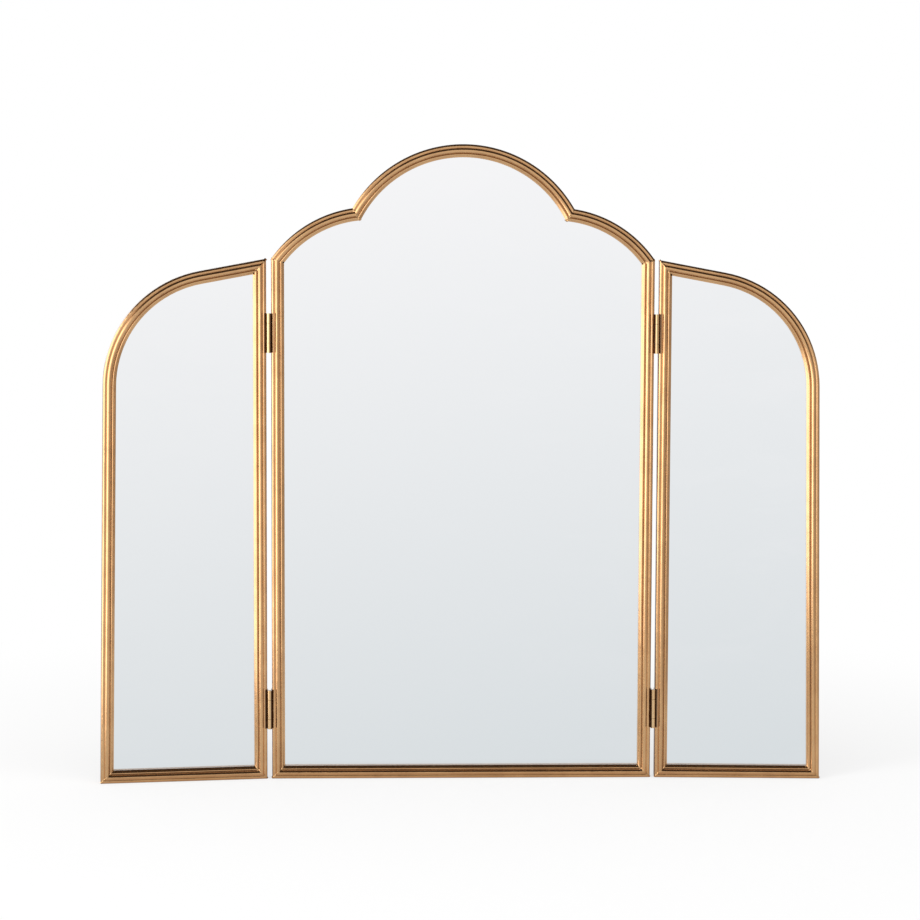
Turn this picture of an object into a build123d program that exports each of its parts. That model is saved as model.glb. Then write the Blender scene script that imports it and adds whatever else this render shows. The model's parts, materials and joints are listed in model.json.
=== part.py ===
from build123d import *
from math import atan2, cos, degrees, pi, radians, sin, sqrt, tan
import os

# Folding dressing table mirror: a centre panel with an arched crown and two side wings on butt hinges.
# Lengths are millimetres and angles degrees. The origin is the middle of the flat underside of the
# centre panel, +X is to the viewer's right, +Y points away from the viewer and +Z is up.

# Centre panel, measured to the outside edge of its moulding
centre_width = 371.0
stile_height = 508.0
shoulder_rise = 48.7
shoulder_radius = 116.8
notch_spread = 214.4
crown_rise = 61.8

# Wings, measured to the outside edge of their moulding, opened flat
wing_bottom_width = 162.0
wing_lean = 6.7
wing_hinge_side_height = 508.0
wing_top_fall = 29.0
wing_corner_radius = 113.0

# How far each wing is folded forward from flat as it stands
left_wing_angle = 7.6
right_wing_angle = 3.2

# Moulding section: a stepped face of three beads on an L of thin metal
moulding_face = 12.5
moulding_depth = 18.0
moulding_wall = 1.2
outer_bead_width = 3.2
outer_bead_side = 3.0
outer_bead_fall = 1.7
main_bead_width = 4.5
groove_width = 0.35
deep_groove_depth = 2.8
inner_bead_width = 2.9
inner_bead_crest = 1.9
lip_shoulder = 3.6
bead_roundness = 0.32
mitre_gap = 0.2

# What lies in the rebate, from front to back
glass_recess = 7.6
glass_thickness = 3.0
glass_edge_clearance = 0.8
foam_thickness = 1.0
foam_width = 15.0
foam_end_margin = 30.0
foam_rows = 3
board_thickness = 3.0

# Bent tabs that hold each backing board in its frame
tab_width = 10.0
tab_reach = 11.0
tab_thickness = 1.0
tab_foot_height = 3.2
tab_curve_clearance = 0.2
tabs_per_long_side = 2
tabs_per_centre_rail = 2

# Butt hinges: the gap between two panels is one knuckle wide
hinge_length = 38.0
hinge_pin_diameter = 1.8
hinge_leaf_thickness = 1.2
hinge_leaf_depth = 11.0
hinge_axis_proud = 1.2
hinge_running_clearance = 0.05
knuckle_gap = 0.3
knuckle_notch_clearance = 0.4
lower_hinge_height = 69.0
upper_hinge_drop = 71.5

# Spare length that the mitres cut away
overrun = 25.0

# Worked out from the sizes above
notch_height = stile_height + shoulder_rise
crown_height = notch_height + crown_rise
wing_corner_width = wing_bottom_width - wing_lean
wing_corner_height = wing_hinge_side_height - wing_top_fall
front = -moulding_depth / 2
glass_front = front + glass_recess
foam_front = glass_front + glass_thickness
board_front = foam_front + foam_thickness
board_back = board_front + board_thickness
rebate_inset = moulding_wall + glass_edge_clearance
knuckle_radius = hinge_pin_diameter / 2 + hinge_leaf_thickness
panel_gap = 2 * knuckle_radius
hinge_x = centre_width / 2 + knuckle_radius
hinge_y = front - hinge_axis_proud
hinge_heights = {"lower": lower_hinge_height, "upper": stile_height - upper_hinge_drop}
depth_axis = Vector(0, 1, 0)


def point(x, z):
    return Vector(x, 0, z)


def mirrored(spot):
    return Vector(-spot.X, spot.Y, spot.Z)


# Centre panel outline: two stiles, two shoulder arcs and the crown arc between the notches

crown_half_chord = notch_spread / 2
crown_radius = (crown_half_chord**2 + crown_rise**2) / (2 * crown_rise)
crown_centre = point(0, crown_height - crown_radius)


def find_shoulder_centre():
    corner = point(centre_width / 2, stile_height)
    chord = point(notch_spread / 2, notch_height) - corner
    reach = sqrt(shoulder_radius**2 - (chord.length / 2) ** 2)
    return corner + chord * 0.5 + depth_axis.cross(chord).normalized() * -reach


shoulder_centre = find_shoulder_centre()


def circles_meet(centre_a, radius_a, centre_b, radius_b):
    # Upper crossing of two circles in the plane of a panel
    apart = centre_b - centre_a
    along = (apart.length**2 + radius_a**2 - radius_b**2) / (2 * apart.length)
    across = sqrt(radius_a**2 - along**2)
    side = depth_axis.cross(apart).normalized() * across
    foot = centre_a + apart.normalized() * along
    return max((foot + side, foot - side), key=lambda spot: spot.Z)


def centre_corners(inset):
    # Right-hand corners of the centre outline, moved in by the inset
    edge = centre_width / 2 - inset
    radius = shoulder_radius - inset
    top = shoulder_centre.Z + sqrt(radius**2 - (edge - shoulder_centre.X) ** 2)
    notch = circles_meet(crown_centre, crown_radius - inset, shoulder_centre, radius)
    return {"foot": point(edge, inset), "top": point(edge, top), "notch": notch}


def arc_middle(start, end, centre):
    # Middle of an arc of less than half a turn
    outward = ((start + end) * 0.5 - centre).normalized()
    return centre + outward * (start - centre).length


def arc_between(start, end, centre):
    return ThreePointArc(start, arc_middle(start, end, centre), end)


def centre_face(inset):
    right = centre_corners(inset)
    left = {name: mirrored(spot) for name, spot in right.items()}
    edges = [
        Line(left["foot"], left["top"]),
        arc_between(left["top"], left["notch"], mirrored(shoulder_centre)),
        ThreePointArc(left["notch"], point(0, crown_height - inset), right["notch"]),
        arc_between(right["notch"], right["top"], shoulder_centre),
        Line(right["top"], right["foot"]),
        Line(right["foot"], left["foot"]),
    ]
    return make_face(edges)


# Wing outline, opened flat on the right-hand side: the hinge edge is upright, the outer edge leans in
# a little towards the top and turns through one large arc into the sloping top edge

wing_x = centre_width / 2 + panel_gap
wing_corner = point(wing_x + wing_corner_width, wing_corner_height)
wing_top_inner = point(wing_x, wing_hinge_side_height)
wing_bottom_outer = point(wing_x + wing_bottom_width, 0)
wing_top_run = (wing_corner - wing_top_inner).normalized()
wing_outer_run = (wing_bottom_outer - wing_corner).normalized()
wing_turn = wing_top_run.get_angle(wing_outer_run)
wing_tangent = wing_corner_radius * tan(radians(wing_turn) / 2)
wing_arc_start = wing_corner - wing_top_run * wing_tangent
wing_arc_end = wing_corner + wing_outer_run * wing_tangent
wing_arc_centre = wing_arc_start + depth_axis.cross(wing_top_run) * wing_corner_radius


def wing_corners(inset):
    # Corners and arc ends of the wing outline, moved in by the inset
    top_inward = depth_axis.cross(wing_top_run) * inset
    outer_inward = depth_axis.cross(wing_outer_run) * inset
    slope = wing_top_run.Z / wing_top_run.X
    lean = wing_outer_run.X / wing_outer_run.Z
    top_on_line = wing_top_inner + top_inward
    outer_on_line = wing_bottom_outer + outer_inward
    hinge_edge = wing_x + inset
    return {
        "foot": point(hinge_edge, inset),
        "top": point(hinge_edge, top_on_line.Z + (hinge_edge - top_on_line.X) * slope),
        "arc_start": wing_arc_start + top_inward,
        "arc_end": wing_arc_end + outer_inward,
        "toe": point(outer_on_line.X + (inset - outer_on_line.Z) * lean, inset),
    }


def wing_face(inset):
    spots = wing_corners(inset)
    edges = [
        Line(spots["foot"], spots["top"]),
        Line(spots["top"], spots["arc_start"]),
        arc_between(spots["arc_start"], spots["arc_end"], wing_arc_centre),
        Line(spots["arc_end"], spots["toe"]),
        Line(spots["toe"], spots["foot"]),
    ]
    return make_face(edges)


# Moulding: the section is drawn across the face from the outside edge and back from the front


def outer_bead(start, end):
    # The outer bead rolls from the side wall over to the first groove
    return Spline(start, end, tangents=((0, -1), (1, 1)))


def bead(start, end, crest):
    # One rounded bead of the face between two points, rising to the crest depth
    width = end[0] - start[0]
    middle = ((start[0] + end[0]) / 2, crest)
    first = (start[0] + width * bead_roundness / 2, crest + (start[1] - crest) * bead_roundness)
    last = (end[0] - width * bead_roundness / 2, crest + (end[1] - crest) * bead_roundness)
    return Spline(start, first, middle, last, end)


def moulding_section():
    groove_a = outer_bead_width
    main_start = groove_a + groove_width
    main_end = main_start + main_bead_width
    inner_start = main_end + groove_width
    inner_end = inner_start + inner_bead_width
    shallow = outer_bead_fall
    back = moulding_depth
    inner_wall = moulding_face - moulding_wall
    web_back = lip_shoulder + moulding_wall
    spots = {
        "heel": (0, back),
        "outer_start": (0, outer_bead_side),
        "groove_a": (groove_a, shallow),
        "main_start": (main_start, shallow),
        "main_end": (main_end, shallow),
        "groove_b": (main_end, deep_groove_depth),
        "inner_start": (inner_start, deep_groove_depth),
        "inner_end": (inner_end, lip_shoulder),
        "lip_front": (moulding_face, lip_shoulder + moulding_wall / 2),
        "lip_back": (moulding_face, glass_recess),
        "lip_inside": (inner_wall, glass_recess),
        "web_inner": (inner_wall, web_back),
        "web_outer": (moulding_wall, web_back),
        "heel_inside": (moulding_wall, back),
    }
    at = {name: (u, v - moulding_depth / 2) for name, (u, v) in spots.items()}
    edges = [
        Line(at["heel"], at["outer_start"]),
        outer_bead(at["outer_start"], at["groove_a"]),
        Line(at["groove_a"], at["main_start"]),
        bead(at["main_start"], at["main_end"], front),
        Line(at["main_end"], at["groove_b"]),
        Line(at["groove_b"], at["inner_start"]),
        bead(at["inner_start"], at["inner_end"], front + inner_bead_crest),
        Line(at["inner_end"], at["lip_front"]),
        Line(at["lip_front"], at["lip_back"]),
        Line(at["lip_back"], at["lip_inside"]),
        Line(at["lip_inside"], at["web_inner"]),
        Line(at["web_inner"], at["web_outer"]),
        Line(at["web_outer"], at["heel_inside"]),
        Line(at["heel_inside"], at["heel"]),
    ]
    return make_face(edges)


section = moulding_section()


def straight_moulding(start, end, extra_at_start=overrun, extra_at_end=overrun):
    travel = (end - start).normalized()
    plane = Plane(origin=start - travel * extra_at_start, x_dir=depth_axis.cross(travel), z_dir=travel)
    return extrude(plane * section, amount=(end - start).length + extra_at_start + extra_at_end)


def curved_moulding(start, end, centre, extra_length):
    radius = (start - centre).length
    extra = extra_length / radius
    from_angle = atan2(start.Z - centre.Z, start.X - centre.X) + extra
    to_angle = atan2(end.Z - centre.Z, end.X - centre.X) - extra
    outward = point(cos(from_angle), sin(from_angle))
    travel = point(sin(from_angle), -cos(from_angle))
    plane = Plane(origin=centre + outward * radius, x_dir=-outward, z_dir=travel)
    turn = degrees((from_angle - to_angle) % (2 * pi))
    return revolve(plane * section, axis=Axis(centre, depth_axis), revolution_arc=turn)


def mitred(piece, outer, inner, kept):
    # Cuts the piece along the line from an outer to an inner corner, on the side of the kept point
    across = (inner - outer).normalized().cross(depth_axis)
    if across.dot(kept - outer) < 0:
        across = -across
    cut = Plane(origin=outer + across * (mitre_gap / 2), x_dir=(inner - outer).normalized(), z_dir=across)
    return split(piece, bisect_by=cut, keep=Keep.TOP)


# Centre frame


def centre_frame():
    outer = centre_corners(0)
    inner = centre_corners(moulding_face)
    left_outer = {name: mirrored(spot) for name, spot in outer.items()}
    left_inner = {name: mirrored(spot) for name, spot in inner.items()}

    rail = straight_moulding(outer["foot"], left_outer["foot"])
    middle = point(0, 0)
    rail = mitred(rail, outer["foot"], inner["foot"], middle)
    rail = mitred(rail, left_outer["foot"], left_inner["foot"], middle)

    stile = straight_moulding(left_outer["foot"], left_outer["top"])
    middle = (left_outer["foot"] + left_outer["top"]) * 0.5
    stile = mitred(stile, left_outer["foot"], left_inner["foot"], middle)
    stile = mitred(stile, left_outer["top"], left_inner["top"], middle)

    shoulder = curved_moulding(left_outer["top"], left_outer["notch"], mirrored(shoulder_centre), overrun)
    middle = (left_outer["top"] + left_outer["notch"]) * 0.5
    shoulder = mitred(shoulder, left_outer["top"], left_inner["top"], middle)
    shoulder = mitred(shoulder, left_outer["notch"], left_inner["notch"], middle)

    crown = curved_moulding(left_outer["notch"], outer["notch"], crown_centre, overrun)
    middle = point(0, crown_height)
    crown = mitred(crown, left_outer["notch"], left_inner["notch"], middle)
    crown = mitred(crown, outer["notch"], inner["notch"], middle)

    return {
        "centre_bottom_rail": rail,
        "centre_left_stile": stile,
        "centre_right_stile": mirror(stile, about=Plane.YZ),
        "centre_left_shoulder": shoulder,
        "centre_right_shoulder": mirror(shoulder, about=Plane.YZ),
        "centre_crown": crown,
    }


# Wing frame: a bottom rail, a hinge stile, and an outer stile that is bent over into the top edge


def wing_frame():
    outer = wing_corners(0)
    inner = wing_corners(moulding_face)

    rail = straight_moulding(outer["toe"], outer["foot"])
    middle = (outer["toe"] + outer["foot"]) * 0.5
    rail = mitred(rail, outer["toe"], inner["toe"], middle)
    rail = mitred(rail, outer["foot"], inner["foot"], middle)

    stile = straight_moulding(outer["foot"], outer["top"])
    middle = (outer["foot"] + outer["top"]) * 0.5
    stile = mitred(stile, outer["foot"], inner["foot"], middle)
    stile = mitred(stile, outer["top"], inner["top"], middle)

    top_run = straight_moulding(outer["top"], outer["arc_start"], extra_at_end=0)
    bend = curved_moulding(outer["arc_start"], outer["arc_end"], wing_arc_centre, 0)
    outer_run = straight_moulding(outer["arc_end"], outer["toe"], extra_at_start=0)
    top_run = mitred(top_run, outer["top"], inner["top"], outer["arc_start"])
    outer_run = mitred(outer_run, outer["toe"], inner["toe"], outer["arc_end"])

    return {
        "bottom_rail": rail,
        "hinge_stile": stile,
        "outer_stile": top_run + bend + outer_run,
    }


# Mirror glass, foam strips and backing boards


def sheet(face, sheet_front, thickness):
    return extrude(Location((0, sheet_front, 0)) * face, amount=thickness, dir=depth_axis)


def foam_strips(left_x, right_x, top):
    # Level strips between two upright lines, spread evenly up to the top
    length = right_x - left_x - 2 * foam_end_margin
    strips = []
    for row in range(foam_rows):
        height = top * (row + 0.5) / foam_rows
        spot = Location(((left_x + right_x) / 2, foam_front + foam_thickness / 2, height))
        strips.append(spot * Box(length, foam_thickness, foam_width))
    return Compound(strips)


def retaining_tab(spot, inward, seat):
    # An angle: its foot stands on the side wall at the seat, and its long leg lies on the board
    foot = Pos(tab_thickness / 2, 0, tab_foot_height / 2) * Box(tab_thickness, tab_width, tab_foot_height)
    leg = Pos(tab_reach / 2, 0, tab_thickness / 2) * Box(tab_reach, tab_width, tab_thickness)
    place = Plane(origin=spot + inward * seat + depth_axis * board_back, x_dir=inward, z_dir=depth_axis)
    return place * (foot + leg)


def tabs_along(start, end, count):
    inward = depth_axis.cross((end - start).normalized())
    steps = [(place + 0.5) / count for place in range(count)]
    return [retaining_tab(start + (end - start) * step, inward, moulding_wall) for step in steps]


def tab_on_arc(spot, centre):
    return retaining_tab(spot, (centre - spot).normalized(), moulding_wall + tab_curve_clearance)


def centre_filling():
    right = centre_corners(0)
    left = {name: mirrored(spot) for name, spot in right.items()}
    pane = centre_face(rebate_inset)
    tabs = tabs_along(left["foot"], left["top"], tabs_per_long_side)
    tabs += tabs_along(right["top"], right["foot"], tabs_per_long_side)
    tabs += tabs_along(right["foot"], left["foot"], tabs_per_centre_rail)
    shoulder_middle = arc_middle(right["notch"], right["top"], shoulder_centre)
    tabs.append(tab_on_arc(mirrored(shoulder_middle), mirrored(shoulder_centre)))
    tabs.append(tab_on_arc(shoulder_middle, shoulder_centre))
    tabs.append(tab_on_arc(point(0, crown_height), crown_centre))
    return {
        "centre_mirror": sheet(pane, glass_front, glass_thickness),
        "centre_foam_strips": foam_strips(left["foot"].X, right["foot"].X, stile_height),
        "centre_backing_board": sheet(pane, board_front, board_thickness),
        "centre_board_tabs": Compound(tabs),
    }


def wing_filling():
    outer = wing_corners(0)
    pane = wing_face(rebate_inset)
    tabs = tabs_along(outer["foot"], outer["top"], tabs_per_long_side)
    tabs += tabs_along(outer["top"], outer["arc_start"], 1)
    tabs += tabs_along(outer["arc_end"], outer["toe"], tabs_per_long_side)
    tabs += tabs_along(outer["toe"], outer["foot"], 1)
    return {
        "mirror": sheet(pane, glass_front, glass_thickness),
        "foam_strips": foam_strips(outer["foot"].X, outer["arc_end"].X, outer["arc_end"].Z),
        "backing_board": sheet(pane, board_front, board_thickness),
        "board_tabs": Compound(tabs),
    }


# Hinges, drawn about the hinge axis with the side wall they are welded to on the given side

end_knuckle = (hinge_length - 2 * knuckle_gap) / 4
middle_knuckle = 2 * end_knuckle
end_knuckle_height = (hinge_length - end_knuckle) / 2


def barrel(length, height):
    solid = Cylinder(knuckle_radius, length)
    bore = Cylinder(hinge_pin_diameter / 2 + hinge_running_clearance, length)
    return Pos(0, 0, height) * (solid - bore)


def knuckle_clearance(length, height):
    reach = knuckle_radius + knuckle_notch_clearance
    return Pos(0, reach / 2, height) * Box(2 * hinge_leaf_depth, reach, length + 2 * knuckle_gap)


def hinge_leaf(wall_side, knuckles, notches):
    plate_x = wall_side * (knuckle_radius - hinge_leaf_thickness / 2)
    plate = Box(hinge_leaf_thickness, hinge_leaf_depth, hinge_length)
    leaf = Pos(plate_x, hinge_leaf_depth / 2, 0) * plate
    for length, height in notches:
        leaf -= knuckle_clearance(length, height)
    for length, height in knuckles:
        leaf -= Pos(0, 0, height) * Cylinder(knuckle_radius, length)
        leaf += barrel(length, height)
    return leaf


def hinge():
    ends = [(end_knuckle, end_knuckle_height), (end_knuckle, -end_knuckle_height)]
    middle = [(middle_knuckle, 0)]
    return {
        "centre_leaf": hinge_leaf(-1, ends, middle),
        "wing_leaf": hinge_leaf(1, middle, ends),
        "pin": Cylinder(hinge_pin_diameter / 2, hinge_length),
    }


# The right-hand wing and its hinges are drawn opened flat. The left-hand ones are their mirror image.


def right_hand_pieces():
    moving = {f"wing_{name}": piece for name, piece in (wing_frame() | wing_filling()).items()}
    fixed = {}
    for level, height in hinge_heights.items():
        for name, piece in hinge().items():
            holder = moving if name == "wing_leaf" else fixed
            holder[f"{level}_hinge_{name}"] = Pos(hinge_x, hinge_y, height) * piece
    return moving, fixed


def folded(piece, axis_x, angle):
    return piece.rotate(Axis((axis_x, hinge_y, 0), (0, 0, 1)), angle)


def all_pieces():
    moving, fixed = right_hand_pieces()
    pieces = centre_frame() | centre_filling()
    for name, piece in fixed.items():
        pieces[f"right_{name}"] = piece
        pieces[f"left_{name}"] = mirror(piece, about=Plane.YZ)
    for name, piece in moving.items():
        pieces[f"right_{name}"] = folded(piece, hinge_x, -right_wing_angle)
        pieces[f"left_{name}"] = folded(mirror(piece, about=Plane.YZ), -hinge_x, left_wing_angle)
    return pieces


os.makedirs("parts", exist_ok=True)
for node, shape in all_pieces().items():
    export_step(shape, f"parts/{node}.step")
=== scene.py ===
import json
import math

import bpy
from mathutils import Matrix, Vector, noise


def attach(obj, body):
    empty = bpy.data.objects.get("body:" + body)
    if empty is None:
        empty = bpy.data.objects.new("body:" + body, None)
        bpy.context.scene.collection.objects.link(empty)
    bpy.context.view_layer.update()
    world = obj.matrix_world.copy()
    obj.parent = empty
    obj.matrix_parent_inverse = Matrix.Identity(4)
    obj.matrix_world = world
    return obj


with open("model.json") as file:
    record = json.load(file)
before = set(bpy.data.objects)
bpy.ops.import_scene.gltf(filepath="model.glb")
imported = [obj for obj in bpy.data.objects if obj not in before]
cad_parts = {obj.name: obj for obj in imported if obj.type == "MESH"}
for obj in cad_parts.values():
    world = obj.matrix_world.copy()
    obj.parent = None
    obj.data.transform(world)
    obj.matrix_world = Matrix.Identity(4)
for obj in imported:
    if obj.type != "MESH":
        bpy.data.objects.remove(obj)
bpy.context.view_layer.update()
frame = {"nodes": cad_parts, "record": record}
print("frame loaded:", len(frame["nodes"]), "nodes")

# Folding dressing table mirror: gold painted beaded frames, plain mirror glass, hardboard backs.
# Metres throughout, in the part's own frame: +X right, +Y away from the viewer, +Z up.


# Shader graphs

class Wire:  # one output socket, with arithmetic that adds Math nodes
    def __init__(self, graph, socket):
        self.graph = graph
        self.socket = socket

    def maths(self, operation, *others):
        values = dict(enumerate((self, *others)))
        return self.graph.node("ShaderNodeMath", {"operation": operation}, values)[0]

    def flipped(self, operation, other):
        return self.graph.node("ShaderNodeMath", {"operation": operation}, {0: other, 1: self})[0]

    def __add__(self, other):
        return self.maths("ADD", other)

    def __radd__(self, other):
        return self.flipped("ADD", other)

    def __sub__(self, other):
        return self.maths("SUBTRACT", other)

    def __rsub__(self, other):
        return self.flipped("SUBTRACT", other)

    def __mul__(self, other):
        return self.maths("MULTIPLY", other)

    def __rmul__(self, other):
        return self.flipped("MULTIPLY", other)

    def __truediv__(self, other):
        return self.maths("DIVIDE", other)

    def __rtruediv__(self, other):
        return self.flipped("DIVIDE", other)

    def smooth(self, low, high):  # 0 below low, 1 above high, eased between
        values = {"Value": self, "From Min": low, "From Max": high}
        return self.graph.node("ShaderNodeMapRange", {"interpolation_type": "SMOOTHSTEP"}, values)["Result"]


class Added:  # a node's outputs by name or number
    def __init__(self, graph, made):
        self.graph = graph
        self.made = made

    def __getitem__(self, key):
        return Wire(self.graph, self.made.outputs[key])


class Graph:
    def __init__(self, owner):
        owner.use_nodes = True
        self.tree = owner.node_tree
        self.tree.nodes.clear()

    def node(self, kind, settings=None, values=None):
        made = self.tree.nodes.new(kind)
        for name, value in (settings or {}).items():
            setattr(made, name, value)
        for key, value in (values or {}).items():
            if isinstance(value, Wire):
                self.tree.links.new(value.socket, made.inputs[key])
            else:
                made.inputs[key].default_value = value
        return Added(self, made)

    def mix(self, amount, first, second):  # two colours
        values = {"Factor": amount, 6: paint(first), 7: paint(second)}
        return self.node("ShaderNodeMix", {"data_type": "RGBA"}, values)[2]

    def noise(self, where, scale, detail, roughness=0.5, distortion=0.0):
        values = {"Vector": where, "Scale": scale, "Detail": detail}
        values.update({"Roughness": roughness, "Distortion": distortion})
        return self.node("ShaderNodeTexNoise", {}, values)["Fac"]

    def cells(self, where, scale):  # how far each place is from the middle of its cell
        return self.node("ShaderNodeTexVoronoi", {}, {"Vector": where, "Scale": scale})["Distance"]

    def split(self, where):
        return self.node("ShaderNodeSeparateXYZ", {}, {0: where})

    def stretched(self, where, factors):
        return self.node("ShaderNodeVectorMath", {"operation": "MULTIPLY"}, {0: where, 1: factors})[0]

    def place(self):
        return self.node("ShaderNodeTexCoord")["Object"]

    def bump(self, height, distance):
        return self.node("ShaderNodeBump", {}, {"Height": height, "Distance": distance})["Normal"]

    def finish(self, values):
        shader = self.node("ShaderNodeBsdfPrincipled", {}, values)["BSDF"]
        self.node("ShaderNodeOutputMaterial", {}, {"Surface": shader})


def paint(colour):
    return colour if isinstance(colour, Wire) or len(colour) == 4 else (*colour, 1)


def newMaterial(name):
    material = bpy.data.materials.new(name)
    return material, Graph(material)


# Gold paint: a metallic lacquer with painted shade in the grooves, a little wavy and patchy as brushed on
# by hand

goldPaint = {
    "crest": (0.68, 0.360, 0.125),
    "patch": (0.58, 0.285, 0.085),
    "groove": (0.13, 0.052, 0.013),
    "speck": (0.11, 0.04, 0.012),
    "pit": None,  # only the filler has pits, near black with painted shade
    "hingeSide": 0.1876,  # painted shade on the walls that face each other at the hinges
    "sideWidth": (0.0041, 0.0052),
    "sideDepth": (-0.0064, -0.0050),
    "hingeHeights": (0.069, 0.4365),
    "hingeReach": (0.0185, 0.0198),
    "streakFrom": (0.0016, 0.0021),  # painted shade: a dark streak in the wing's edge beside each hinge
    "streakTo": (0.0042, 0.0052),
    "streakShare": 0.62,
    "recessShare": 0.0,  # painted shade, which only the hinges get, on their side towards the centre panel
    "recessFrom": (0.0008, 0.0014),
    "shade": (0.075, 0.030, 0.010),
    "grooveReach": 0.0013,
    "grooveSamples": 12,
    "grooveOpen": (0.12, 0.62),
    "roughness": 0.19,
    "roughnessSpread": 0.10,
    "coat": 1.0,
    "coatIor": 1.85,
    "coatRoughness": 0.14,
    "waveScale": 120.0,
    "waveDetail": (3.0, 0.55),
    "waveHeight": 0.00010,
    "patchScale": 0.35,  # times the waves' scale
    "patchDetail": (3.0, 0.6),
    "patchFrom": (0.38, 0.66),
    "patchShare": 0.8,
    "grainScale": 1500.0,
    "grainDetail": (3.0, 0.6),
    "grainHeight": 0.000005,
    "speckScale": 230.0,
    "speckSize": (0.06, 0.11),
    "rareScale": 0.5,  # times the specks' scale: specks come in a few places only
    "rareDetail": 1.0,
    "rareFrom": (0.60, 0.66),
}
# Hinges: a paler gold, painted light on the knuckles, which carry the same paint as the frames; painted
# shade on their side towards the centre panel
litHingePaint = dict(
    goldPaint,
    crest=(0.80, 0.50, 0.22),
    patch=(0.72, 0.43, 0.17),
    waveHeight=0.00004,
    sideWidth=(0.0, 0.0001),
    recessShare=0.85,
)
fillerPaint = dict(
    goldPaint,
    crest=(0.66, 0.36, 0.12),
    roughness=0.24,
    waveScale=420.0,
    waveHeight=0.00020,
    pit=(0.012, 0.007, 0.004),
)


def makeGold(name, look):
    material, g = newMaterial(name)
    place = g.place()
    wave = g.noise(place, look["waveScale"], *look["waveDetail"])
    patch = g.noise(place, look["waveScale"] * look["patchScale"], *look["patchDetail"])
    grain = g.noise(place, look["grainScale"], *look["grainDetail"])
    samples = {"samples": look["grooveSamples"]}
    # painted shade: darker brown where ambient occlusion finds grooves and corners
    openness = g.node("ShaderNodeAmbientOcclusion", samples, {"Distance": look["grooveReach"]})["AO"]
    unshaded = openness.smooth(*look["grooveOpen"])
    dots = 1 - g.cells(place, look["speckScale"]).smooth(*look["speckSize"])
    rare = g.noise(place, look["speckScale"] * look["rareScale"], look["rareDetail"])
    speck = dots * rare.smooth(*look["rareFrom"])
    spot = g.split(place)
    beyond = spot["X"].maths("ABSOLUTE") - look["hingeSide"]  # towards the wing
    # painted shade on the walls that face each other across the hinge gaps
    gapShade = (1 - beyond.maths("ABSOLUTE").smooth(*look["sideWidth"])) * spot["Y"].smooth(*look["sideDepth"])
    low, high = ((spot["Z"] - level).maths("ABSOLUTE") for level in look["hingeHeights"])
    atHinge = 1 - low.maths("MINIMUM", high).smooth(*look["hingeReach"])
    # painted shade beside each hinge: a dark streak in the wing's edge, and the hinge's own side towards
    # the centre panel
    streak = atHinge * beyond.smooth(*look["streakFrom"]) * (1 - beyond.smooth(*look["streakTo"]))
    recess = atHinge * (0 - beyond).smooth(*look["recessFrom"])
    shaded = (streak * look["streakShare"] + recess * look["recessShare"]).maths("MINIMUM", 1)
    unshaded = unshaded * (1 - gapShade) * (1 - shaded)
    gold = g.mix(patch.smooth(*look["patchFrom"]) * look["patchShare"], look["crest"], look["patch"])
    colour = g.mix(speck, g.mix(unshaded, look["groove"], gold), look["speck"])
    colour = g.mix(shaded, colour, look["shade"])
    if look["pit"]:
        # painted shade: the filler's pits, only shallow dips, are near black
        pit = g.node("ShaderNodeAttribute", {"attribute_name": "pit"})["Fac"]
        colour = g.mix(pit, colour, look["pit"])
        unshaded = unshaded * (1 - pit)
    relief = wave * look["waveHeight"] + grain * look["grainHeight"]
    g.finish({
        "Base Color": colour,
        "Metallic": 1.0,
        "Roughness": look["roughness"] + (patch - 0.5) * look["roughnessSpread"],
        "Coat Weight": look["coat"] * unshaded * (1 - speck),
        "Coat IOR": look["coatIor"],
        "Coat Roughness": look["coatRoughness"],
        "Normal": g.bump(relief, 1.0),
    })
    return material


# Mirror glass: silvered, faintly blue, with a painted reflection a little darker to the right, and the last
# traces of wiping

mirrorGlass = {
    "silver": (0.94, 0.945, 0.95),
    "darker": (0.895, 0.91, 0.92),
    "wiped": (0.925, 0.932, 0.94),
    "halfWidth": 0.36,
    "roughness": 0.012,
    "roughnessSpread": 0.01,
    "streakScale": 9.0,
    "streakStretch": (1.0, 1.0, 2.6),
    "streakDetail": (4.0, 0.6, 0.8),
    "wipedFrom": (0.45, 0.70),
    "wipedShare": 0.5,
}


def makeMirror(name, look):
    material, g = newMaterial(name)
    place = g.place()
    streak = g.noise(g.stretched(place, look["streakStretch"]), look["streakScale"], *look["streakDetail"])
    # painted reflection: the silver shades a little darker to the right
    rightwards = (g.split(place)["X"] + look["halfWidth"]) / (2 * look["halfWidth"])
    silver = g.mix(rightwards, look["silver"], look["darker"])
    wiped = streak.smooth(*look["wipedFrom"]) * look["wipedShare"]
    g.finish({
        "Base Color": g.mix(wiped, silver, look["wiped"]),
        "Metallic": 1.0,
        "Roughness": look["roughness"] + streak * look["roughnessSpread"],
    })
    return material


# Hardboard: pressed brown fibres

hardboard = {
    "light": (0.30, 0.185, 0.105),
    "dark": (0.20, 0.115, 0.060),
    "fibreScale": 420.0,
    "fibreStretch": (1.0, 1.0, 0.35),
    "fibreDetail": (5.0, 0.65, 1.2),
    "fibreHeight": 0.00006,
    "crossScale": 1.4,  # times the fibres' scale
    "crossStretch": (0.3, 1.0, 1.0),
    "crossDetail": (4.0, 0.6, 1.0),
    "cloudScale": 14.0,
    "cloudDetail": 3.0,
    "shares": (0.45, 0.35, 0.2),  # of fibres, cross fibres and clouds
    "lightFrom": (0.38, 0.62),
    "roughness": 0.62,
    "roughnessSpread": 0.2,
}


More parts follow.
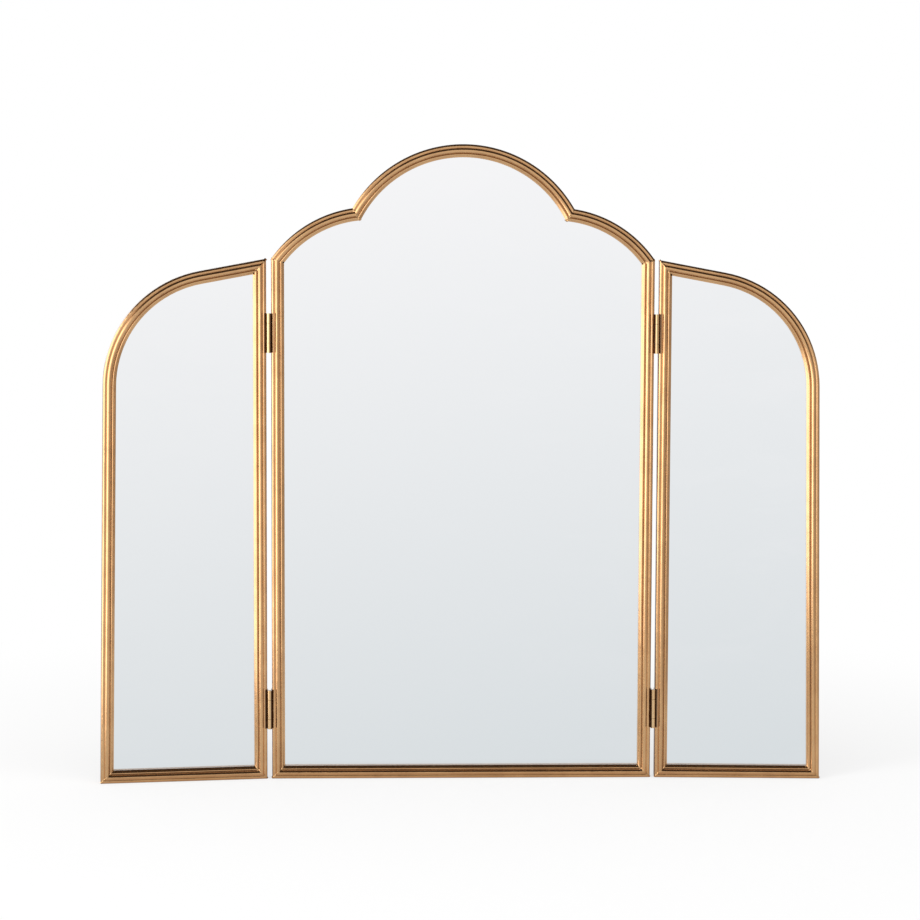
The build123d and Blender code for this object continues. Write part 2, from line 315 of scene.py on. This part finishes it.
def makeHardboard(name, look):
    material, g = newMaterial(name)
    place = g.place()
    fibre = g.noise(g.stretched(place, look["fibreStretch"]), look["fibreScale"], *look["fibreDetail"])
    crossScale = look["fibreScale"] * look["crossScale"]
    cross = g.noise(g.stretched(place, look["crossStretch"]), crossScale, *look["crossDetail"])
    cloud = g.noise(place, look["cloudScale"], look["cloudDetail"])
    fibres, crosses, clouds = look["shares"]
    mottle = fibre * fibres + cross * crosses + cloud * clouds
    g.finish({
        "Base Color": g.mix(mottle.smooth(*look["lightFrom"]), look["dark"], look["light"]),
        "Roughness": look["roughness"] + (fibre - 0.5) * look["roughnessSpread"],
        "Normal": g.bump(fibre + cross, look["fibreHeight"]),
    })
    return material


# Zinc plated tabs and steel hinge pins

zincSteel = {
    "base": (0.56, 0.56, 0.55),
    "spangle": (0.44, 0.45, 0.46),
    "spangleScale": 260.0,
    "spangleFrom": (0.1, 0.6),
    "hazeScale": 3.0,  # times the spangles' scale
    "hazeDetail": 3.0,
    "hazeHeight": 0.00002,
    "roughness": 0.36,
    "roughnessSpread": 0.15,
}
pinSteel = dict(
    zincSteel,
    base=(0.52, 0.38, 0.22),
    spangle=(0.38, 0.27, 0.15),
    spangleScale=500.0,
    roughness=0.34,
)


def makeSteel(name, look):
    material, g = newMaterial(name)
    place = g.place()
    spangle = g.cells(place, look["spangleScale"]).smooth(*look["spangleFrom"])
    haze = g.noise(place, look["spangleScale"] * look["hazeScale"], look["hazeDetail"])
    g.finish({
        "Base Color": g.mix(spangle, look["base"], look["spangle"]),
        "Metallic": 1.0,
        "Roughness": look["roughness"] + haze * look["roughnessSpread"],
        "Normal": g.bump(haze, look["hazeHeight"]),
    })
    return material


# Closed cell foam strips

foam = {
    "light": (0.80, 0.79, 0.76),
    "pore": (0.62, 0.61, 0.58),
    "poreScale": 1500.0,
    "poreTo": (0.1, 0.5),
    "poreHeight": 0.0003,
    "roughness": 0.9,
}


def makeFoam(name, look):
    material, g = newMaterial(name)
    pores = g.cells(g.place(), look["poreScale"])
    g.finish({
        "Base Color": g.mix(pores.smooth(*look["poreTo"]), look["pore"], look["light"]),
        "Roughness": look["roughness"],
        "Normal": g.bump(pores, look["poreHeight"]),
    })
    return material


materials = {
    "gold_paint": makeGold("goldPaint", goldPaint),
    "hinge_paint": makeGold("litHingePaint", litHingePaint),
    "hinge_pin_steel": makeSteel("pinSteel", pinSteel),
    "mirror_glass": makeMirror("mirrorGlass", mirrorGlass),
    "filler": makeGold("fillerPaint", fillerPaint),
    "foam": makeFoam("foam", foam),
    "hardboard": makeHardboard("hardboard", hardboard),
    "tab_steel": makeSteel("tabSteel", zincSteel),
}
slotOf = {row["node"]: row["material_slot"] for row in frame["record"]["subparts"]}
for node, piece in frame["nodes"].items():
    for materialSlot in piece.material_slots:
        materialSlot.material = materials[slotOf[node]]
print("materials on every node")


# Filler: every mitre of the frames is filled and painted over, a little melted and pitted, the pits
# darkened with painted shade.
# Millimetres, on the right-hand side with the wing opened flat: outer and inner corner as (x, z)

mitreFiller = {
    "centre_panel": {
        "Foot": ((185.50, 0.30), (173.00, 12.50)),
        "Shoulder": ((185.50, 508.00), (173.00, 503.95)),
        "Notch": ((107.20, 556.70), (99.29, 545.08)),
    },
    "wing": {
        "Foot": ((189.70, 0.30), (202.20, 12.50)),
        "Top": ((189.70, 508.00), (202.20, 492.95)),
        "Toe": ((351.70, 0.30), (339.02, 12.50)),
    },
    "hinge": (187.6, -10.2),
    "folded": {"left_wing": 7.6, "right_wing": -3.2},
    "face": 12.5,
    "front": -9.0,
    "section": (  # across the face and how deep, from the outside edge
        (0.0, 2.9), (0.25, 2.25), (0.9, 1.68), (2.0, 1.37), (2.9, 1.50),
        (3.4, 1.70), (3.8, 1.10), (4.6, 0.31), (5.8, 0.0), (7.0, 0.31),
        (7.8, 1.10), (8.2, 2.30), (8.6, 2.45), (9.3, 1.96), (9.8, 1.89),
        (10.5, 2.16), (11.1, 2.80), (11.5, 3.72), (12.5, 4.15),
    ),
    "pits": {  # share of the way along the mitre, place across it, and radius
        "Foot": ((0.30, 0.1, 0.45), (0.96, 0.0, 0.6)),
        "Shoulder": ((0.17, -0.3, 0.9), (0.45, 0.2, 0.4), (0.95, 0.2, 1.0)),
        "Notch": ((0.08, 0.2, 1.2), (0.52, -0.2, 0.5)),
        "Top": ((0.13, 0.1, 0.8), (0.80, -0.4, 0.8), (0.93, 0.3, 1.4)),
        "Toe": ((0.25, 0.0, 0.5),),
    },
    "melt": 0.55,
    "halfWidth": 1.5,
    "evenShare": 0.8,  # of the half width, and how much comes and goes
    "raggedShare": 0.5,
    "raggedTurns": 7,
    "proud": 0.16,
    "tucked": 0.30,
    "lumps": 0.09,
    "lumpScale": 0.9,
    "leastDepth": 0.05,
    "pitDepth": 0.1,
    "pitDarkness": 2,
    "aboveTable": 0.05,
    "steps": (44, 12),
}


def sectionDepth(across):
    spots = mitreFiller["section"]
    across = min(max(across, spots[0][0]), spots[-1][0])
    for (a, deepA), (b, deepB) in zip(spots, spots[1:]):
        if across <= b:
            return deepA + (deepB - deepA) * (across - a) / (b - a)


def meltedDepth(across):
    melt = mitreFiller["melt"]
    return (sectionDepth(across - melt) + 2 * sectionDepth(across) + sectionDepth(across + melt)) / 4


# Grid points, in rows along the mitre and columns across it, and how dark the painted shade of a pit makes
# each
def fillerSpots(outer, inner, pits, seed):
    look = mitreFiller
    outer, inner = Vector(outer), Vector(inner)
    length = (inner - outer).length
    beside = Vector((inner.y - outer.y, outer.x - inner.x)) / length
    lean = math.sqrt(max(0, 1 - (look["face"] / length) ** 2))
    rows, columns = look["steps"]
    lumpScale = look["lumpScale"]
    centres = []
    for share, side, size in pits:
        centres.append((outer.lerp(inner, share) + beside * side * look["halfWidth"], size))
    spots, darkness = [], []
    for row in range(rows + 1):
        share = row / rows
        wander = noise.noise((share * look["raggedTurns"], seed, 0))
        ragged = look["evenShare"] + look["raggedShare"] * wander
        for column in range(columns + 1):
            side = 2 * column / columns - 1
            offset = side * look["halfWidth"] * ragged
            across = look["face"] * share - abs(offset) * lean
            spot = outer.lerp(inner, share) + beside * offset
            lump = look["lumps"] * noise.noise((spot.x * lumpScale, spot.y * lumpScale, seed))
            pit = max([0] + [1 - ((spot - centre).length / size) ** 3 for centre, size in centres])
            raised = (look["proud"] + lump) * (1 - side * side) - look["tucked"] * side ** 4
            deep = max(meltedDepth(across) - raised, look["leastDepth"]) + look["pitDepth"] * pit
            spots.append(Vector((spot.x, look["front"] + deep, max(spot.y, look["aboveTable"]))))
            darkness.append(min(1, pit * look["pitDarkness"]))
    return spots, darkness


def makeFiller(name, body, corners, pits, mirrored, seed):
    spots, darkness = fillerSpots(*corners, pits, seed)
    if mirrored:
        spots = [Vector((-spot.x, spot.y, spot.z)) for spot in spots]
    if body in mitreFiller["folded"]:
        axisX, axisY = mitreFiller["hinge"]
        axis = Vector((-axisX if mirrored else axisX, axisY, 0))
        turn = Matrix.Rotation(math.radians(mitreFiller["folded"][body]), 3, "Z")
        spots = [axis + turn @ (spot - axis) for spot in spots]
    rows, columns = mitreFiller["steps"]
    wide = columns + 1
    faces = []
    for row in range(rows):
        for column in range(columns):
            first = row * wide + column
            faces.append((first, first + 1, first + wide + 1, first + wide))
    mesh = bpy.data.meshes.new(name)
    mesh.from_pydata([spot / 1000 for spot in spots], [], faces)
    mesh.attributes.new("pit", "FLOAT", "POINT").data.foreach_set("value", darkness)
    mesh.shade_smooth()
    mesh.materials.append(materials["filler"])
    if mesh.polygons[0].normal.y > 0:
        mesh.flip_normals()
    piece = bpy.data.objects.new(name, mesh)
    bpy.context.scene.collection.objects.link(piece)
    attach(piece, body)


for number, (spotName, corners) in enumerate(mitreFiller["centre_panel"].items()):
    pits = mitreFiller["pits"][spotName]
    makeFiller("centreLeft" + spotName + "Filler", "centre_panel", corners, pits, True, number)
    makeFiller("centreRight" + spotName + "Filler", "centre_panel", corners, pits, False, number + 10)
for number, (spotName, corners) in enumerate(mitreFiller["wing"].items()):
    pits = mitreFiller["pits"][spotName]
    makeFiller("leftWing" + spotName + "Filler", "left_wing", corners, pits, True, number + 20)
    makeFiller("rightWing" + spotName + "Filler", "right_wing", corners, pits, False, number + 30)
print("filler at the mitres")


# Stage: a pale floor that keeps the shadow, and a studio that metal and glass reflect: bright on the left,
# dim on the right and overhead, white at the back, and pale towards the viewer and along the floor

studio = {
    "floorSize": 30.0,
    "floorLevel": -0.0002,
    "floorColour": (0.86, 0.86, 0.86),
    "shadowKept": 0.30,
    "fadeStart": 0.25,
    "fadeEnd": 1.0,
    "paleNear": (0.752, 0.786, 0.803),
    "paleFar": (1.032, 1.016, 1.020),
    "viewDistance": 2.5,
    "viewHeight": 0.536,
    "farRise": 1.3,
    "paleSpread": 0.25,
    "paleEdge": (0.36, 0.70),
    # painted shadow: metal and glass see the floor darker at the object's foot and beside it
    "foot": (0.58, 0.53, 0.48),
    "footReach": 0.09,
    "besideFoot": (0.44, 0.41, 0.38),
    "besideReach": (0.35, 0.85),
    "leftLift": 0.45,  # how much higher the bright left side reaches
    "leftTo": (-0.50, -0.15),
    "rightFrom": (0.20, 0.50),
    "backFrom": (-0.10, 0.60),
    "ceilingFrom": (0.06, 0.36),
    "aheadFrom": (0.93, 0.965),
    "aheadTop": (0.08, 0.20),
    "leastDepth": 0.1,
    "left": (2.90, 2.88, 2.84),
    "front": (1.15, 1.15, 1.15),
    "right": (0.50, 0.49, 0.47),
    "back": (1.0, 1.0, 1.0),
    "ceiling": (0.060, 0.050, 0.045),
    "plainStrength": 0.62,
}


def roomTone(g, side, depth):  # what a level direction shows, from its x and y
    room = g.mix(side.smooth(*studio["leftTo"]), studio["left"], studio["front"])
    room = g.mix(side.smooth(*studio["rightFrom"]), room, studio["right"])
    return g.mix(depth.smooth(*studio["backFrom"]), room, studio["back"])


def makeFloor():
    bpy.ops.mesh.primitive_plane_add(size=studio["floorSize"], location=(0, 0, studio["floorLevel"]))
    floor = bpy.context.object
    floor.name = "floor"
    material, g = newMaterial("floorPaper")
    rays = g.node("ShaderNodeLightPath")
    place = g.place()
    away = g.node("ShaderNodeVectorMath", {"operation": "LENGTH"}, {0: place})["Value"]
    spot = g.split(place)
    before = (0 - spot["Y"]).maths("MAXIMUM", 0)
    rise = before / (before + studio["viewDistance"]) / studio["farRise"]
    pale = g.mix(rise, studio["paleNear"], studio["paleFar"])
    beside = spot["X"].maths("ABSOLUTE") - before * studio["paleSpread"]
    room = roomTone(g, spot["X"] / away, spot["Y"] / away)
    # painted shadow near the object in the floor that metal and glass reflect
    room = g.mix(away.smooth(*studio["besideReach"]), studio["besideFoot"], room)
    seen = g.mix(beside.smooth(*studio["paleEdge"]), pale, room)
    seen = g.mix(before.smooth(0.0, studio["footReach"]), studio["foot"], seen)
    direct = 1 - studio["shadowKept"] * (1 - away.smooth(studio["fadeStart"], studio["fadeEnd"]))
    plain = g.node("ShaderNodeBsdfDiffuse", {}, {"Color": paint(studio["floorColour"])})["BSDF"]
    white = g.node("ShaderNodeEmission", {}, {"Color": (1, 1, 1, 1), "Strength": 1.0})["Emission"]
    glow = g.node("ShaderNodeEmission", {}, {"Color": seen, "Strength": 1.0})["Emission"]
    gloss = rays["Is Glossy Ray"].maths("MAXIMUM", rays["Is Transmission Ray"])
    shader = g.node("ShaderNodeMixShader", {}, {0: rays["Is Camera Ray"] * direct, 1: plain, 2: white})[0]
    shader = g.node("ShaderNodeMixShader", {}, {0: gloss, 1: shader, 2: glow})[0]
    g.node("ShaderNodeOutputMaterial", {}, {"Surface": shader})
    floor.data.materials.append(material)


def makeWorld():
    world = bpy.data.worlds.new("studio")
    bpy.context.scene.world = world
    g = Graph(world)
    rays = g.node("ShaderNodeLightPath")
    towards = g.split(g.node("ShaderNodeTexCoord")["Generated"])
    side, depth, up = towards["X"], towards["Y"], towards["Z"]
    height = up + side.maths("MINIMUM", 0) * studio["leftLift"]
    room = g.mix(height.smooth(*studio["ceilingFrom"]), roomTone(g, side, depth), studio["ceiling"])
    slope = up / (0 - depth).maths("MAXIMUM", studio["leastDepth"])
    rise = 1 + slope * (studio["viewDistance"] / studio["viewHeight"])
    pale = g.mix(rise / studio["farRise"], studio["paleNear"], studio["paleFar"])
    ahead = (0 - depth).smooth(*studio["aheadFrom"]) * (1 - up.smooth(*studio["aheadTop"]))
    seen = g.mix(ahead, room, pale)
    pure = (1, 1, 1, 1)
    glossy = g.node("ShaderNodeBackground", {}, {"Color": seen, "Strength": 1.0})[0]
    plain = g.node("ShaderNodeBackground", {}, {"Color": pure, "Strength": studio["plainStrength"]})[0]
    white = g.node("ShaderNodeBackground", {}, {"Color": pure, "Strength": 1.0})[0]
    gloss = rays["Is Glossy Ray"].maths("MAXIMUM", rays["Is Transmission Ray"])
    shader = g.node("ShaderNodeMixShader", {}, {0: gloss, 1: plain, 2: glossy})[0]
    shader = g.node("ShaderNodeMixShader", {}, {0: rays["Is Camera Ray"], 1: shader, 2: white})[0]
    g.node("ShaderNodeOutputWorld", {}, {"Surface": shader})


softBoxes = {
    "keyLeft": {"at": (-1.7, -1.5, 1.5), "size": (0.9, 1.4), "watts": 26.0},
    "overHead": {"at": (0.0, -0.7, 2.4), "size": (1.8, 0.9), "watts": 18.0},
    "fillRight": {"at": (1.9, -1.6, 0.9), "size": (0.8, 1.2), "watts": 7.0},
}
lampTarget = (0, 0, 0.3)


def makeSoftBox(name, look):
    light = bpy.data.lights.new(name, "AREA")
    light.shape = "RECTANGLE"
    light.size, light.size_y = look["size"]
    light.energy = look["watts"]
    box = bpy.data.objects.new(name, light)
    bpy.context.scene.collection.objects.link(box)
    turn = (Vector(lampTarget) - Vector(look["at"])).to_track_quat("-Z", "Y")
    box.matrix_world = Matrix.Translation(look["at"]) @ turn.to_matrix().to_4x4()
    box.visible_glossy = False  # the world alone gives the reflections


makeFloor()
makeWorld()
for name, look in softBoxes.items():
    makeSoftBox(name, look)
print("stage and lights placed")


# Camera: about 2.5 m away, a little left of the middle, looking slightly down

camera = {
    "at": (-0.094, -2.522, 0.536),
    "pitch": 5.05,
    "yaw": 2.08,
    "roll": 0.22,
    "focalPixels": 2600.0,
    "framePixels": 920.0,
    "sensor": 36.0,
    "clip": (0.05, 100.0),
}


def makeCamera(look):
    data = bpy.data.cameras.new("camera")
    data.sensor_fit = "HORIZONTAL"
    data.sensor_width = look["sensor"]
    data.lens = look["focalPixels"] / look["framePixels"] * look["sensor"]
    data.clip_start, data.clip_end = look["clip"]
    eye = bpy.data.objects.new("camera", data)
    bpy.context.scene.collection.objects.link(eye)
    pitch, yaw, roll = (math.radians(look[name]) for name in ("pitch", "yaw", "roll"))
    forward = Vector((math.sin(yaw) * math.cos(pitch), math.cos(yaw) * math.cos(pitch), -math.sin(pitch)))
    level = Vector((math.cos(yaw), -math.sin(yaw), 0))
    upright = level.cross(forward)
    right = level * math.cos(roll) + upright * math.sin(roll)
    up = upright * math.cos(roll) - level * math.sin(roll)
    turn = Matrix((right, up, -forward)).transposed()
    eye.matrix_world = Matrix.Translation(look["at"]) @ turn.to_4x4()
    bpy.context.scene.camera = eye


makeCamera(camera)
bpy.context.scene.view_settings.view_transform = "Standard"
print("camera placed")

bpy.context.view_layer.update()
